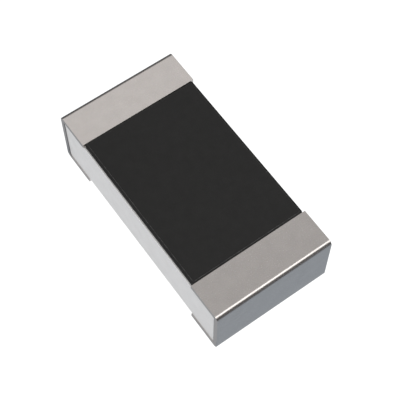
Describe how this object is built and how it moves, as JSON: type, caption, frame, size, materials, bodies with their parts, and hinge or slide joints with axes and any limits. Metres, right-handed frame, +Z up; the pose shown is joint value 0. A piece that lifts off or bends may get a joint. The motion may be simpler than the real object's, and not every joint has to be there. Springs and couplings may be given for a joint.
{
  "type": "smd chip resistor",
  "caption": "Surface-mount thick-film chip resistor: white ceramic block, trimmed film under a flat black coat, and tinned metal wrapped round both ends.",
  "frame": {"origin": "centre of the chip, halfway between the two ends, the two long sides and the solder lands and the top", "axes": "+X along the length towards the right-hand termination, +Y across the width, +Z up through the black coat"},
  "size_m": [0.0016, 0.0008, 0.0004],
  "materials": {
    "alumina": "matte",
    "silver": "matte",
    "resistive_ink": "matte",
    "film_glass": "gloss",
    "black_coat": "matte",
    "nickel": "satin",
    "tin": "satin"
  },
  "bodies": {
    "root": {"ceramic_substrate": "alumina", "top_electrode_left": "silver", "top_electrode_right": "silver", "bottom_electrode_left": "silver", "bottom_electrode_right": "silver", "resistive_film": "resistive_ink", "glass_passivation": "film_glass", "protective_overcoat": "black_coat", "end_electrode_left": "silver", "end_electrode_right": "silver", "nickel_barrier_left": "nickel", "nickel_barrier_right": "nickel", "tin_plating_left": "tin", "tin_plating_right": "tin"}
  },
  "joints": []
}
